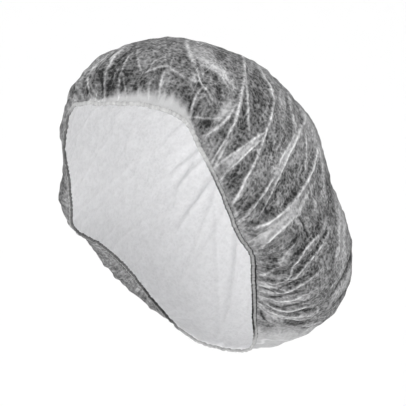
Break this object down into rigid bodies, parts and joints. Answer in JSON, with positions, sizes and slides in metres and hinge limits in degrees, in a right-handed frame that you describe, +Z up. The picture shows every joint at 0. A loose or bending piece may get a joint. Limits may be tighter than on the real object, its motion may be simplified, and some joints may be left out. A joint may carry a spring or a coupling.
{
  "type": "bouffant hairnet",
  "caption": "Disposable bouffant hairnet in its worn shape: a gathered, pleated crown of thin nonwoven cloth that bags out at the back, closed round its opening by a narrow elasticated hem.",
  "frame": {"origin": "The seat at the top of the hollow, where the inside of the crown bears on the top of a head, on the middle line.", "axes": "+Z up, -Y towards the open front, +Y towards the bag at the back, +X towards the wearer's left."},
  "size_m": [0.2129, 0.2713, 0.257],
  "materials": {
    "nonwoven_cloth": "Thin see-through spunbond cloth as it reads when filled: a matt mottled mid grey with pale creases and pleats, paler at the front band and the bottom of the bag.",
    "hem_cloth": "The same cloth rolled over a narrow elastic and finely gathered, so it reads paler, with a dark line where it is drawn in."
  },
  "bodies": {
    "root": {"crown": "nonwoven_cloth", "elastic_hem": "hem_cloth"}
  },
  "joints": []
}
